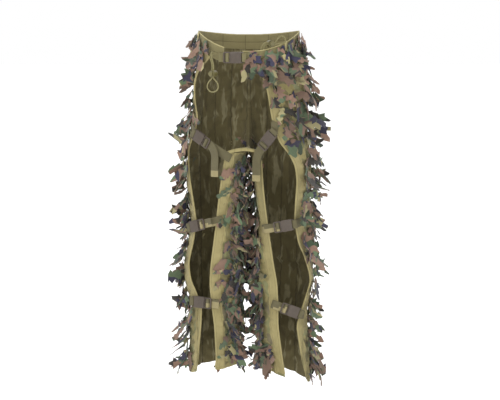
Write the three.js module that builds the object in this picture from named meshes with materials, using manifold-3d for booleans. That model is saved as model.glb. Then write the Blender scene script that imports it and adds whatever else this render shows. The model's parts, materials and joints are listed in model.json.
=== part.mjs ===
// Open-front leaf ghillie trousers: a waistband, two legs cut from side, back and inner panels, leaf
// garnish sewn in rows on the outside, and seven buckled straps that close the open fronts.
// Millimetres. +Z is up, -Y is the front, and the origin is the middle of the waist opening at rim height.
import * as THREE from "three";
import { mergeVertices } from "three/addons/utils/BufferGeometryUtils.js";
import Module from "manifold-3d";

const wasm = await Module();
wasm.setup();

// Driving dimensions
const CLOTH = 1.6;
const SEAM_GAP = 0.3;
const BAND_HEIGHT = 45;
const BAND_THICKNESS = 2.6;
const RIM_FRONT_DROP = 58;
const RIM_BACK_DROP = 11;
const BINDING_WIDTH = 26;
const BINDING_THICKNESS = 0.8;
const BARE_EDGE = 36;
const LEAF_DEPTH = 26;
const INNER_LEAF_DEPTH = 15;
const LEAF_GAP = 1.2;
const SIDE_SEAM = 35;
const SEAM_ANGLE_GAP = 0.16;
const SEAM_GARNISH_GAP = 0.6;
const WEB_WIDTH = 25;
const WEB_THICKNESS = 1.4;
const WEB_OFFSET = 5.5;
const BUCKLE_OFFSET = 6.8;
const CORD_DIAMETER = 4;
const LEFT = 1;
const RIGHT = -1;

// One side's half-section by height: centre's distance from the middle, half-width, half-depth.
const SECTION_HEIGHTS = [-1040, -900, -800, -700, -620, -550, -440, -350, -300, -200, -110, -50, 20];
const SECTIONS = [
  99, 79, 84, 99, 74, 82, 99, 72, 82, 103, 88, 87, 100, 81, 88, 97, 74, 90, 98, 85, 96, 89.5, 88, 102,
  74, 97, 107, 38, 126, 112, 6, 149, 110, 0, 147, 106, 0, 148, 105,
];
// Distance of each opening's edges from the middle of the trousers, by height.
const OUTER_EDGE = {
  [RIGHT]: {
    heights: [
      -1040, -907, -795, -725, -684, -646, -587, -535, -463, -424, -343, -304, -253, -181, -131, -106, -78,
    ],
    across: [156, 146, 135, 168, 177, 174, 155, 152, 168, 172, 181, 160, 147, 162, 155, 143, 110],
  },
  [LEFT]: {
    heights: [-1040, -944, -833, -762, -721, -676, -621, -527, -449, -367, -322, -274, -162, -117, -100],
    across: [176, 150, 137, 176, 183, 172, 146, 128, 142, 131, 90, 70, 52, 34, 6],
  },
};
const INNER_EDGE = {
  [RIGHT]: {
    heights: [-1040, -926, -814, -766, -702, -576, -475, -349],
    across: [108, 90, 103, 111, 113, 96, 85, 66],
  },
  [LEFT]: {
    heights: [-1040, -902, -809, -769, -675, -512, -419, -349],
    across: [112, 88, 79, 88, 70, 46, 37, 34],
  },
};
const ROWS = [-50, -82, -120, -160, -205, -250, -300, -322, -349, -385, -430, -490, -550, -610, -670,
  -725, -790, -850, -920, -990];
const CROTCH_ROW = 8;
const HEM_ROWS = 2;
const HEM = { [RIGHT]: { level: -982, outerDrop: 14 }, [LEFT]: { level: -1000, outerDrop: 28 } };

const KHAKI = 0x9c9168;
const OLIVE = 0x5f5738;
const BAND_OLIVE = 0x8a8058;
const LEAF_GREEN = 0x5c6648;
const WEB_OLIVE = 0x5e5a38;
const BUCKLE_BROWN = 0x665a4c;
const CORD_OLIVE = 0x6c6848;

const radians = THREE.MathUtils.degToRad;
const degrees = THREE.MathUtils.radToDeg;
const garment = new THREE.Group();

function material(color, roughness) {
  return new THREE.MeshStandardMaterial({ color, roughness, metalness: 0 });
}

function add(name, geometry, color, roughness = 0.9) {
  const mesh = new THREE.Mesh(geometry, material(color, roughness));
  mesh.name = name;
  garment.add(mesh);
  return mesh;
}

// A table lookup, linear between the listed heights.
function lookup(table, heights, size, z) {
  const clamped = THREE.MathUtils.clamp(z, heights[0], heights.at(-1));
  return Array.from(new THREE.LinearInterpolant(heights, table, size).evaluate(clamped));
}

const sectionCurve = new THREE.CubicInterpolant(SECTION_HEIGHTS, SECTIONS, 3);

function section(z) {
  const clamped = THREE.MathUtils.clamp(z, SECTION_HEIGHTS[0], SECTION_HEIGHTS.at(-1));
  const [centre, halfWidth, halfDepth] = Array.from(sectionCurve.evaluate(clamped));
  return { centre, halfWidth, halfDepth };
}

// A point on one side's body surface, pushed out by offset. Angle 0 is the outside, 90 the back and -90 the
// front.
function surfacePoint(side, angle, z, offset) {
  const { centre, halfWidth, halfDepth } = section(z);
  const a = radians(angle);
  const normal = new THREE.Vector2(Math.cos(a) / halfWidth, Math.sin(a) / halfDepth).normalize();
  const across = centre + halfWidth * Math.cos(a) + normal.x * offset;
  return new THREE.Vector3(side * across, halfDepth * Math.sin(a) + normal.y * offset, z);
}

function surfaceNormal(side, angle, z) {
  const { halfWidth, halfDepth } = section(z);
  const a = radians(angle);
  return new THREE.Vector3((side * Math.cos(a)) / halfWidth, Math.sin(a) / halfDepth, 0).normalize();
}

// Millimetres along the section for one degree of angle.
function arcPerDegree(angle, z) {
  const { halfWidth, halfDepth } = section(z);
  const a = radians(angle);
  return radians(Math.hypot(halfWidth * Math.sin(a), halfDepth * Math.cos(a)));
}

function angleAt(across, z) {
  const { centre, halfWidth } = section(z);
  return degrees(Math.acos(THREE.MathUtils.clamp((across - centre) / halfWidth, -1, 1)));
}

// The waist rim dips at the front and rises a little at the back.
function rimHeight(angle) {
  const s = Math.sin(radians(angle));
  return s < 0 ? -RIM_FRONT_DROP * Math.pow(-s, 1.6) : -RIM_BACK_DROP * s * s;
}

// The height of a row of the cloth grid at an angle: the top rows follow the rim and the last ones the hem.
function rowHeight(side, row, angle) {
  const rimShare = Math.max(0, 1 - row / 4);
  const hemShare = Math.max(0, 1 - (ROWS.length - 1 - row) / HEM_ROWS);
  const hem = HEM[side].level - HEM[side].outerDrop * Math.cos(radians(angle));
  return (ROWS[row] + rimShare * rimHeight(angle)) * (1 - hemShare) + hem * hemShare;
}

function edgeAngle(side, row, edge) {
  let angle = -90;
  for (let i = 0; i < 8; i += 1) {
    const z = rowHeight(side, row, angle);
    const [across] = lookup(edge[side].across, edge[side].heights, 1, z);
    angle = -angleAt(across, z);
  }
  return angle;
}

function arcAngle(side, row, angle, distance) {
  return distance / arcPerDegree(angle, rowHeight(side, row, angle));
}

// A closed sheet of columns by rows, whose two faces are split along the same diagonals so that layered
// sheets stay parallel. map(column, depth, row) places each vertex, with depth 0 or 1.
function mappedSheet(columns, rows, map, mirrored) {
  const positions = [];
  for (let depth = 0; depth <= 1; depth += 1) {
    for (let row = 0; row <= rows; row += 1) {
      for (let column = 0; column <= columns; column += 1) {
        positions.push(...map(column, depth, row).toArray());
      }
    }
  }
  const at = (column, depth, row) => (depth * (rows + 1) + row) * (columns + 1) + column;
  const index = [];
  const quad = (a, b, c, d) => index.push(...(mirrored ? [a, c, b, a, d, c] : [a, b, c, a, c, d]));
  for (let row = 0; row < rows; row += 1) {
    for (let column = 0; column < columns; column += 1) {
      const corners = (depth) => [
        at(column, depth, row),
        at(column + 1, depth, row),
        at(column + 1, depth, row + 1),
        at(column, depth, row + 1),
      ];
      const [a, b, c, d] = corners(1);
      quad(c, b, a, d);
      const [e, f, g, h] = corners(0);
      quad(e, f, g, h);
    }
    quad(at(0, 0, row), at(0, 0, row + 1), at(0, 1, row + 1), at(0, 1, row));
    quad(at(columns, 0, row), at(columns, 1, row), at(columns, 1, row + 1), at(columns, 0, row + 1));
  }
  for (let column = 0; column < columns; column += 1) {
    quad(at(column, 0, 0), at(column, 1, 0), at(column + 1, 1, 0), at(column + 1, 0, 0));
    quad(at(column, 0, rows), at(column + 1, 0, rows), at(column + 1, 1, rows), at(column, 1, rows));
  }
  const sheet = new THREE.BufferGeometry();
  sheet.setAttribute("position", new THREE.Float32BufferAttribute(positions, 3));
  sheet.setIndex(index);
  sheet.computeVertexNormals();
  return sheet;
}

// A piece of the garment between two rows, whose column angles come from anglesAt(row), outermost first.
function garmentSheet(side, firstRow, lastRow, anglesAt, offsetAt, heightAt = rowHeight) {
  const columns = anglesAt(firstRow).length - 1;
  const rows = lastRow - firstRow;
  const map = (column, depth, row) => {
    const r = lastRow - row;
    const angle = anglesAt(r)[column];
    const [inner, outer] = offsetAt(column / columns, r);
    return surfacePoint(side, angle, heightAt(side, r, angle), depth === 0 ? inner : outer);
  };
  return mappedSheet(columns, rows, map, side === LEFT);
}

function steps(from, to, count) {
  return Array.from({ length: count + 1 }, (_, i) => THREE.MathUtils.lerp(from, to, i / count));
}

// Column angles of the side panel: the bound edge, the bare strip, then on to the side seam.
function sideAngles(side, row) {
  const edge = edgeAngle(side, row, OUTER_EDGE);
  const bound = edge + arcAngle(side, row, edge, BINDING_WIDTH);
  const bare = edge + arcAngle(side, row, edge, BARE_EDGE);
  return [edge, bound, ...steps(bare, SIDE_SEAM - SEAM_ANGLE_GAP, 4)];
}

// The back panel ends at the centre-back seam above the crotch and at the inseam below it.
function backEnd(side, row) {
  if (row >= CROTCH_ROW) {
    return 180 - SEAM_ANGLE_GAP;
  }
  let angle = 90;
  for (let i = 0; i < 6; i += 1) {
    angle = angleAt(2 * SEAM_GAP, rowHeight(side, row, angle));
  }
  return angle;
}

function backAngles(side, row) {
  return steps(SIDE_SEAM + SEAM_ANGLE_GAP, backEnd(side, row), 6);
}

// Column angles of the inner leg panel, from the inseam forward to its bound edge.
function innerAngles(side, row) {
  const edge = edgeAngle(side, row, INNER_EDGE);
  const bound = edge - arcAngle(side, row, edge, BINDING_WIDTH);
  const bare = edge - arcAngle(side, row, edge, BARE_EDGE);
  return [...steps(-180 + SEAM_ANGLE_GAP, bare, 2), bound, edge];
}

// How far leaves may stand out before they would meet the other leg's.
function leafRoom(side, angle, z, wanted) {
  const a = radians(angle);
  const { centre, halfWidth, halfDepth } = section(z);
  const inward = -Math.cos(a) / halfWidth / Math.hypot(Math.cos(a) / halfWidth, Math.sin(a) / halfDepth);
  const room = (centre + halfWidth * Math.cos(a) - 1) / Math.max(inward, 0.05);
  return inward > 0 ? Math.min(wanted, Math.max(room, LEAF_GAP + 0.6)) : wanted;
}

function buildPanels(side, label) {
  const last = ROWS.length - 1;
  const cloth = () => [-CLOTH, 0];
  add(`side_panel_${label}`, garmentSheet(side, 0, last, (r) => sideAngles(side, r), cloth), OLIVE);
  add(`back_panel_${label}`, garmentSheet(side, 0, last, (r) => backAngles(side, r), cloth), OLIVE);
  const inner = garmentSheet(side, CROTCH_ROW, last, (r) => innerAngles(side, r), cloth);
  add(`inner_leg_panel_${label}`, inner, OLIVE);
  const tape = () => [SEAM_GAP, SEAM_GAP + BINDING_THICKNESS];
  const outerTape = garmentSheet(side, 0, last, (r) => sideAngles(side, r).slice(0, 2), tape);
  add(`outer_edge_tape_${label}`, outerTape, KHAKI);
  const innerTape = garmentSheet(side, CROTCH_ROW, last, (r) => innerAngles(side, r).slice(-2), tape);
  add(`inner_edge_tape_${label}`, innerTape, KHAKI);
}

// Starts a row's angles a little past the seam between two garnish pieces.
function insideSeam([first, ...rest]) {
  return [first + SEAM_GARNISH_GAP, ...rest];
}

function buildGarnish(side, label) {
  const last = ROWS.length - 1;
  const depthAt = (anglesAt, most) => (share, row) => {
    const angles = anglesAt(row);
    const angle = angles[Math.round(share * (angles.length - 1))];
    const height = rowHeight(side, row, angle);
    const wanted = row <= 1 ? most * 0.5 : most;
    return [LEAF_GAP, leafRoom(side, angle, height, wanted)];
  };
  const parts = {
    garnish_side: [(r) => sideAngles(side, r).slice(2), 0, LEAF_DEPTH],
    garnish_back_outer: [(r) => backAngles(side, r).slice(0, 4), 0, LEAF_DEPTH],
    garnish_back_inner: [(r) => insideSeam(backAngles(side, r).slice(3, 6)), 0, LEAF_DEPTH],
    garnish_inner: [(r) => innerAngles(side, r).slice(1, 3), CROTCH_ROW, INNER_LEAF_DEPTH],
  };
  for (const [name, [anglesAt, firstRow, depth]] of Object.entries(parts)) {
    const geometry = garmentSheet(side, firstRow, last, anglesAt, depthAt(anglesAt, depth));
    add(`${name}_${label}`, geometry, LEAF_GREEN);
  }
}

// The waistband is a ring at rim height, in three pieces.
function bandSheet(side, from, to, columns, inner, outer) {
  const angles = steps(from, to, columns);
  const height = (s, row, angle) => rimHeight(angle) - (row === 0 ? 0 : BAND_HEIGHT - SEAM_GAP * 1.5);
  return garmentSheet(side, 0, 1, () => angles, () => [inner, outer], height);
}

function buildWaistband() {
  add("waistband_back", bandSheet(LEFT, 0.2, 179.8, 14, -BAND_THICKNESS, 0), BAND_OLIVE);
  add("waistband_front_left", bandSheet(LEFT, -99, -0.2, 9, -BAND_THICKNESS, 0), BAND_OLIVE);
  add("waistband_front_right", bandSheet(RIGHT, -62, -0.2, 6, -BAND_THICKNESS, 0), BAND_OLIVE);
}

// The gusset closes the crotch in front of the seam, between the tops of the two inner leg panels.
function buildGusset() {
  const { centre, halfWidth, halfDepth } = section(ROWS[CROTCH_ROW]);
  const reach = { front: -0.72 * halfDepth, back: -0.12 * halfDepth };
  const rows = 8;
  const columns = 2;
  const map = (column, depth, row) => {
    const y = THREE.MathUtils.lerp(reach.front, reach.back, row / rows);
    const half = centre - halfWidth * Math.sqrt(1 - (y / halfDepth) ** 2) + 1;
    const x = (column / columns - 0.5) * 2 * half;
    const arch = 5 - 12 * (y / halfDepth) ** 2;
    return new THREE.Vector3(x, y, ROWS[CROTCH_ROW] + 8 + arch - (1 - depth) * CLOTH);
  };
  const sheet = mappedSheet(columns, rows, map, true);
  add("crotch_gusset", cut(sheet, []), OLIVE);
}

function solid(geometry) {
  const bare = geometry.clone();
  for (const name of Object.keys(bare.attributes)) {
    if (name !== "position") {
      bare.deleteAttribute(name);
    }
  }
  const merged = mergeVertices(bare, 1e-4);
  const mesh = new wasm.Mesh({
    numProp: 3,
    vertProperties: new Float32Array(merged.attributes.position.array),
    triVerts: new Uint32Array(merged.index.array),
  });
  return new wasm.Manifold(mesh);
}

function toGeometry(body) {
  const mesh = body.getMesh();
  const geometry = new THREE.BufferGeometry();
  geometry.setAttribute("position", new THREE.BufferAttribute(new Float32Array(mesh.vertProperties), 3));
  geometry.setIndex(new THREE.BufferAttribute(new Uint32Array(mesh.triVerts), 1));
  geometry.computeVertexNormals();
  return geometry;
}

function cut(base, cutters) {
  return toGeometry(cutters.reduce((body, cutter) => body.subtract(solid(cutter)), solid(base)));
}

function join(pieces) {
  return toGeometry(pieces.slice(1).reduce((body, piece) => body.add(solid(piece)), solid(pieces[0])));
}

// A box between two corners.
function block(low, high) {
  const size = high.map((value, i) => value - low[i]);
  const box = new THREE.BoxGeometry(...size);
  box.translate(...low.map((value, i) => value + size[i] / 2));
  return box;
}

// A flat outline in x and y, thickened along z.
function plate(points, low, high) {
  const shape = new THREE.Shape(points.map(([x, y]) => new THREE.Vector2(x, y)));
  const geometry = new THREE.ExtrudeGeometry(shape, { depth: high - low, bevelEnabled: false });
  geometry.translate(0, 0, low);
  return geometry;
}

// Buckle halves in their own frame: x along the strap towards the female half, y across, z outward.
const FEMALE = { length: 38, half: 16.5, depth: 4.5, cavity: 12.8, cavityDepth: 2.7, floor: 28 };
const BAR = { from: 34.9, depth: 1.8 };
const MALE = { base: 22, half: 16, depth: 1.7, armTip: 24, armDepth: 2.2 };
const RELEASE_WINDOW = { from: 7, to: 23 };

function femaleHalf() {
  const { length, half, depth, cavity, cavityDepth, floor } = FEMALE;
  const outline = [
    [0, -half + 2],
    [2, -half],
    [RELEASE_WINDOW.to + 4, -half],
    [length - 3, -half + 1.5],
    [length, -half + 3],
    [length, half - 3],
    [length - 3, half - 1.5],
    [RELEASE_WINDOW.to + 4, half],
    [2, half],
    [0, half - 2],
  ];
  const body = plate(outline, -depth, depth);
  const socket = block([-1, -cavity, -cavityDepth], [floor, cavity, cavityDepth]);
  const windows = block([-1, -half - 1, -cavityDepth], [RELEASE_WINDOW.to, half + 1, cavityDepth]);
  const webSlot = block([31.6, -12.9, -depth - 1], [BAR.from, 12.9, depth + 1]);
  const overBar = block([BAR.from - 0.1, -12.9, BAR.depth], [length + 1, 12.9, depth + 1]);
  const underBar = block([BAR.from - 0.1, -12.9, -depth - 1], [length + 1, 12.9, -BAR.depth]);
  return cut(body, [socket, windows, webSlot, overBar, underBar]);
}

function maleHalf() {
  const { base, half, depth, armTip, armDepth } = MALE;
  const frame = plate(
    [
      [-base, -half + 3], [-base + 3, -half], [-0.8, -half],
      [-0.8, half], [-base + 3, half], [-base, half - 3],
    ],
    -depth, depth,
  );
  const arm = (side) => plate(
    [
      [-2, 7.6], [18, 8.4], [armTip - 1, 8.6], [armTip, 10], [21, 12.2],
      [13, 15.2], [9, 15.2], [9, 11.4], [-2, 11.6],
    ].map(([x, y]) => [x, y * side]),
    -armDepth, armDepth,
  );
  const guide = block([-2, -2, -armDepth + 0.4], [20, 2, armDepth - 0.4]);
  const body = join([frame, arm(1), arm(-1), guide]);
  const slots = [[-8, -3.4], [-18, -11.6]].map(([from, to]) => block([from, -12.9, -9], [to, 12.9, 9]));
  return cut(body, slots);
}

// A ribbon through stations of { point, across, up }, each with its own width and thickness directions.
function ribbon(stations, width = WEB_WIDTH, thickness = WEB_THICKNESS) {
  const map = (column, depth, row) => {
    const { point, across, up } = stations[row];
    return point.clone()
      .addScaledVector(across, (column - 0.5) * width)
      .addScaledVector(up, (depth - 0.5) * thickness);
  };
  return cut(mappedSheet(1, stations.length - 1, map, false), []);
}

// Stations along a flat path of [along, out] points in a buckle's frame, mitred at each bend.
function flatStations(frame, path) {
  return path.map(([along, out], i) => {
    const before = path[Math.max(i - 1, 0)];
    const after = path[Math.min(i + 1, path.length - 1)];
    const point = frame.at(along, 0, out);
    const a = new THREE.Vector2(along - before[0], out - before[1]).normalize();
    const b = new THREE.Vector2(after[0] - along, after[1] - out).normalize();
    const heading = a.clone().add(b).normalize();
    const turn = Math.max(0.6, heading.dot(a.lengthSq() > 0 ? a : b));
    const up = frame.x.clone().multiplyScalar(-heading.y / turn).addScaledVector(frame.z, heading.x / turn);
    return { point, across: frame.y.clone(), up };
  });
}

// Walks along the body surface from an angle and height, rising by slope for each millimetre outward.
function walk(side, start, distance, slope) {
  const count = 24;
  const level = distance / Math.hypot(1, slope) / count;
  let { angle, z } = start;
  for (let i = 0; i < count; i += 1) {
    angle += level / arcPerDegree(angle, z);
    z += level * slope;
  }
  return { angle, z };
}

// The stretch of a strap that lies on the cloth, as stations at each distance from the buckle's middle.
function surfaceStations(side, start, slope, distances) {
  return distances.map((distance) => {
    const here = walk(side, start, distance, slope);
    const point = surfacePoint(side, here.angle, here.z, WEB_OFFSET);
    const a = walk(side, start, distance - 1, slope);
    const b = walk(side, start, distance + 1, slope);
    const tangent = surfacePoint(side, b.angle, b.z, WEB_OFFSET)
      .sub(surfacePoint(side, a.angle, a.z, WEB_OFFSET))
      .normalize();
    const normal = surfaceNormal(side, here.angle, here.z);
    const across = normal.clone().cross(tangent).multiplyScalar(side).normalize();
    return { point, across, up: tangent.clone().cross(across).normalize().multiplyScalar(side) };
  });
}

// How far a strap runs over the body before it crosses the bound edge of the opening. Direction is 1 outward.
function edgeDistance({ side, across, z, slope }, direction) {
  const start = { angle: -angleAt(across, z), z };
  const edge = direction > 0 ? OUTER_EDGE[side] : INNER_EDGE[side];
  let distance = 0;
  let beyond = false;
  while (!beyond && distance < 150) {
    distance += 1;
    const here = walk(side, start, distance * direction, slope);
    const [edgeAcross] = lookup(edge.across, edge.heights, 1, here.z);
    beyond = (here.angle + angleAt(edgeAcross, here.z)) * direction > 0;
  }
  return distance;
}

const SEWN = 17;
const SHORTEST_FIXED = 50;
const SHORTEST_ADJUST = 38;
const THIGH_TAIL = 95;
const STRAPS = [
  { name: "waist", side: LEFT, across: -50, z: -77, slope: 0, outer: 58, inner: 37, tail: 6 },
  { name: "thigh_right", side: RIGHT, across: 127, z: -313, slope: 0.58, tail: THIGH_TAIL },
  { name: "thigh_left", side: LEFT, across: 50, z: -318, slope: 1.2, tail: THIGH_TAIL },
  { name: "knee_right", side: RIGHT, across: 140, z: -558, slope: -0.26, tail: 20 },
  { name: "knee_left", side: LEFT, across: 93, z: -560, slope: 0.18, tail: 20 },
  { name: "calf_right", side: RIGHT, across: 126, z: -783, slope: 0.06, tail: 16 },
  { name: "calf_left", side: LEFT, across: 112, z: -803, slope: -0.38, tail: 20 },
].map((strap) => ({
  outer: Math.max(SHORTEST_FIXED, edgeDistance(strap, 1) + SEWN),
  inner: Math.max(SHORTEST_ADJUST, edgeDistance(strap, -1) + SEWN),
  ...strap,
}));

// A buckle's frame: origin over the surface, x towards the outer side, y across, z out of the leg.
function buckleFrame({ side, across, z, slope }) {
  const start = { angle: -angleAt(across, z), z };
  const origin = surfacePoint(side, start.angle, z, BUCKLE_OFFSET);
  const out = surfaceNormal(side, start.angle, z);
  const level = new THREE.Vector3(0, 0, 1).cross(out).multiplyScalar(side);
  const x = level.add(new THREE.Vector3(0, 0, slope)).normalize();
  const y = out.clone().cross(x).normalize();
  const at = (along, sideways, outward) => origin.clone()
    .addScaledVector(x, along).addScaledVector(y, sideways).addScaledVector(out, outward);
  return { start, origin, x, y, z: out, at };
}

function placed(geometry, frame) {
  const matrix = new THREE.Matrix4().makeBasis(frame.x, frame.y, frame.z).setPosition(frame.origin);
  const moved = geometry.clone().applyMatrix4(matrix);
  moved.computeVertexNormals();
  return moved;
}

// Matches the width direction of the surface stations to the buckle's. The ribbon's upper side faces outward
// where it heads for the female half, and inward where it heads away from it.
function aligned(stations, frame, facing) {
  for (const { across, up } of stations) {
    across.multiplyScalar(Math.sign(across.dot(frame.y)));
    up.multiplyScalar(Math.sign(up.dot(frame.z)) * facing);
  }
  return stations;
}

// The tail hangs from the male half and turns down as it goes.
function hangingTail(frame, from, length) {
  const stations = [];
  const pieces = 8;
  const point = frame.at(...from);
  const down = new THREE.Vector3(0, 0, -1);
  const flat = frame.z;
  down.addScaledVector(flat, -down.dot(flat)).normalize();
  for (let i = 1; i <= pieces; i += 1) {
    const share = Math.min(1, (i / pieces) * 2);
    const heading = frame.x.clone().multiplyScalar(-(1 - share)).addScaledVector(down, share).normalize();
    point.addScaledVector(heading, length / pieces).addScaledVector(flat, 0.5);
    const up = flat.clone().negate();
    stations.push({ point: point.clone(), across: up.clone().cross(heading).normalize(), up });
  }
  return stations;
}

// Female side: sewn to the side panel, under the bar, round it and back over itself.
function fixedWeb(strap, frame) {
  const onCloth = [strap.outer, strap.outer - 5, strap.outer - 10].filter((d) => d > 43);
  const run = aligned(surfaceStations(strap.side, frame.start, strap.slope, onCloth), frame, -1);
  const loop = [[39, -3.2], [36, -3.1]];
  for (const turn of [-125, -150, -180, -210, -235]) {
    loop.push([36 + 3.1 * Math.cos(radians(turn)), 3.1 * Math.sin(radians(turn))]);
  }
  loop.push([36, 3.1], [40, 3.1], [46, 2.4]);
  return ribbon([...run, ...flatStations(frame, loop)]);
}

// Male side: sewn to the inner edge, up through the ladder's near slot, over its bar and back out as the
// tail.
function adjustableWeb(strap, frame) {
  const onCloth = [];
  for (let distance = strap.inner; distance > 34; distance -= 10) {
    onCloth.push(-distance);
  }
  const run = aligned(surfaceStations(strap.side, frame.start, strap.slope, onCloth), frame, 1);
  const loop = [
    [-25, -4.8], [-9, -4.7], [-6.6, -4], [-5.8, -2.4], [-5.8, 1.6], [-6.8, 2.7], [-9.8, 2.9], [-12.6, 2.7],
    [-13.6, 1.6], [-14.4, -1.6], [-16, -2.9], [-19, -3], [-26, -3],
  ];
  const short = strap.tail < 40;
  const tail = short ? flatStations(frame, [[-26, -3], [-30, -2], [-30 - strap.tail, 0]]).slice(1)
    : hangingTail(frame, [-26, 0, -3], strap.tail);
  return ribbon([...run, ...flatStations(frame, loop), ...tail]);
}

function buildStrap(strap) {
  const frame = buckleFrame(strap);
  add(`buckle_female_${strap.name}`, placed(femaleHalf(), frame), BUCKLE_BROWN, 0.5);
  add(`buckle_male_${strap.name}`, placed(maleHalf(), frame), BUCKLE_BROWN, 0.5);
  add(`web_fixed_${strap.name}`, fixedWeb(strap, frame), WEB_OLIVE);
  add(`web_adjust_${strap.name}`, adjustableWeb(strap, frame), WEB_OLIVE);
}

// Cord locks: a barrel whose sprung plunger pinches both strands of a cord loop. In its own frame x is the
// plunger's axis, y the strands' spacing and z the cord's direction.
const STRAND = 2.4;
const LOCK = { radius: 9.5, back: -15, front: 8.5, boreBack: -12.5, boreWide: 6.3, boreTall: 4.3 };
const PLUNGER = { back: -4.6, window: 5.6, wide: 6, tall: 4, headFrom: 12.2, headTo: 15, headRadius: 6.5 };
const CORD_SLOT = { long: 2.6, wide: 5 };

function rodAlongX(radius, from, to, segments = 16) {
  const rod = new THREE.CylinderGeometry(radius, radius, to - from, segments);
  rod.rotateZ(Math.PI / 2);
  rod.translate((from + to) / 2, 0, 0);
  return rod;
}

function lockBody() {
  const { radius, back, front, boreBack, boreWide, boreTall } = LOCK;
  const bore = block([boreBack, -boreWide, -boreTall], [front + 1, boreWide, boreTall]);
  const slot = block([-CORD_SLOT.long, -CORD_SLOT.wide, -20], [CORD_SLOT.long, CORD_SLOT.wide, 20]);
  return cut(rodAlongX(radius, back, front), [bore, slot]);
}

function lockButton() {
  const { back, window, wide, tall, headFrom, headTo, headRadius } = PLUNGER;
  const stem = block([back, -wide, -tall], [headFrom + 0.5, wide, tall]);
  const head = rodAlongX(headRadius, headFrom, headTo);
  const opening = block([-CORD_SLOT.long, -CORD_SLOT.wide, -20], [window, CORD_SLOT.wide, 20]);
  return toGeometry(solid(stem).add(solid(head)).subtract(solid(opening)));
}

function lockSpring() {
  const from = LOCK.boreBack + SEAM_GAP;
  const to = PLUNGER.back - SEAM_GAP;
  const profile = [[2.6, from], [3.6, from], [3.6, to], [2.6, to], [2.6, from]];
  const ring = new THREE.LatheGeometry(profile.map(([r, h]) => new THREE.Vector2(r, h)), 12);
  ring.rotateZ(-Math.PI / 2);
  return cut(ring, []);
}

// A free cord as a tube through points.
function cordTube(points, stepsAlong) {
  const curve = new THREE.CatmullRomCurve3(points, false, "centripetal");
  const sides = 8;
  const section8 = new THREE.Shape(Array.from({ length: sides }, (_, i) => {
    const turn = (2 * Math.PI * i) / sides;
    return new THREE.Vector2(Math.cos(turn), Math.sin(turn)).multiplyScalar(CORD_DIAMETER / 2);
  }));
  return new THREE.ExtrudeGeometry(section8, { steps: stepsAlong, extrudePath: curve, bevelEnabled: false });
}

const CORD_LOCKS = {
  // Hangs in the open front under the band, on a cord that leaves the band above it and loops below it.
  right: {
    side: RIGHT,
    across: 97,
    z: -123,
    offset: 12,
    upright: true,
    exits: [[0, -11.4, 62], [0, -11.4, 54]],
    leave: [[0, -5, 61.5], [0.6, -1, 57], [STRAND, 0, 48], [STRAND, 0, 24], [STRAND, 0, 0], [STRAND, 0, -12]],
    loop: [[9, 0, -19], [16, 0, -28], [18, 0, -38], [12, 0, -48], [0, 0, -52],
      [-12, 0, -48], [-18, 0, -38], [-16, 0, -28], [-9, 0, -19]],
    back: [[-STRAND, 0, -12], [-STRAND, 0, 0], [-STRAND, 0, 24], [-STRAND, -1, 40], [-1, -4, 51]],
  },
  // Rests on the front rim, on a cord that comes up from inside the band and loops over along the rim.
  left: {
    side: LEFT,
    across: 62,
    z: -37.5,
    offset: -1,
    upright: false,
    exits: [[-27, -6, -26], [-20, -6, -26]],
    leave: [[-26, -6.4, -14], [-22, -4, -3], [-16, -1, STRAND], [0, 0, STRAND], [12, 0, STRAND]],
    loop: [[17, 0, 7], [24, 0, 17], [34, 0, 21], [43, 0, 15], [44, 0, 6], [36, 0, 1], [22, 0, -1]],
    back: [[12, 0, -STRAND], [0, 0, -STRAND], [-12, -1, -STRAND], [-18, -5, -8], [-20, -6.4, -16]],
  },
};

function buildCordLock(label, { side, across, z, offset, upright, exits, leave, loop, back }) {
  const angle = -angleAt(across, z);
  const origin = surfacePoint(side, angle, z, offset);
  const out = surfaceNormal(side, angle, z);
  const rightward = out.clone().cross(new THREE.Vector3(0, 0, 1)).negate();
  const up = new THREE.Vector3(0, 0, 1);
  const at = ([along, outward, above]) => origin.clone()
    .addScaledVector(rightward, along).addScaledVector(out, outward).addScaledVector(up, above);
  const points = [exits[0], ...leave, ...loop, ...back, exits[1]].map(at);
  add(`drawcord_${label}`, cut(cordTube(points, 72), []), CORD_OLIVE);
  const cordWay = upright ? up : rightward;
  const frame = { x: out, y: cordWay.clone().cross(out), z: cordWay, origin };
  add(`cord_lock_${label}`, placed(lockBody(), frame), BUCKLE_BROWN, 0.5);
  add(`cord_lock_button_${label}`, placed(lockButton(), frame), BUCKLE_BROWN, 0.5);
  add(`cord_lock_spring_${label}`, placed(lockSpring(), frame), BUCKLE_BROWN, 0.4);
}

// A short tape on the waistband's outside, standing off between its ends by bulge.
function bandTape(side, angle, width, bulge) {
  const rows = 6;
  const half = width / 2 / arcPerDegree(angle, 0);
  const map = (column, depth, row) => {
    const share = row / rows;
    const here = angle + (column * 2 - 1) * half;
    const z = rimHeight(here) - THREE.MathUtils.lerp(BAND_HEIGHT - 3, 2, share);
    const stand = SEAM_GAP * 1.5 + bulge * Math.sqrt(Math.sin(Math.PI * share));
    return surfacePoint(side, here, z, stand + depth * 1.2);
  };
  return mappedSheet(1, rows, map, side === LEFT);
}

buildWaistband();
add("belt_loop_right", bandTape(RIGHT, -12, 12, 4), KHAKI);
add("tape_tab_left", bandTape(LEFT, -44, 10, 0.8), KHAKI);
for (const [label, lock] of Object.entries(CORD_LOCKS)) {
  buildCordLock(label, lock);
}
buildPanels(RIGHT, "right");
buildPanels(LEFT, "left");
buildGusset();
buildGarnish(RIGHT, "right");
buildGarnish(LEFT, "left");
STRAPS.forEach(buildStrap);

export default garment;
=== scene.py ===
"""Looks for the open-front leaf ghillie trousers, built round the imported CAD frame.

Metres, +Z up, -Y the wearer's front. Cloth, tapes and garnish are traced from the CAD panels, and the
webbing, buckles and cord locks are refined from their CAD nodes.
"""

import json
import math

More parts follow.
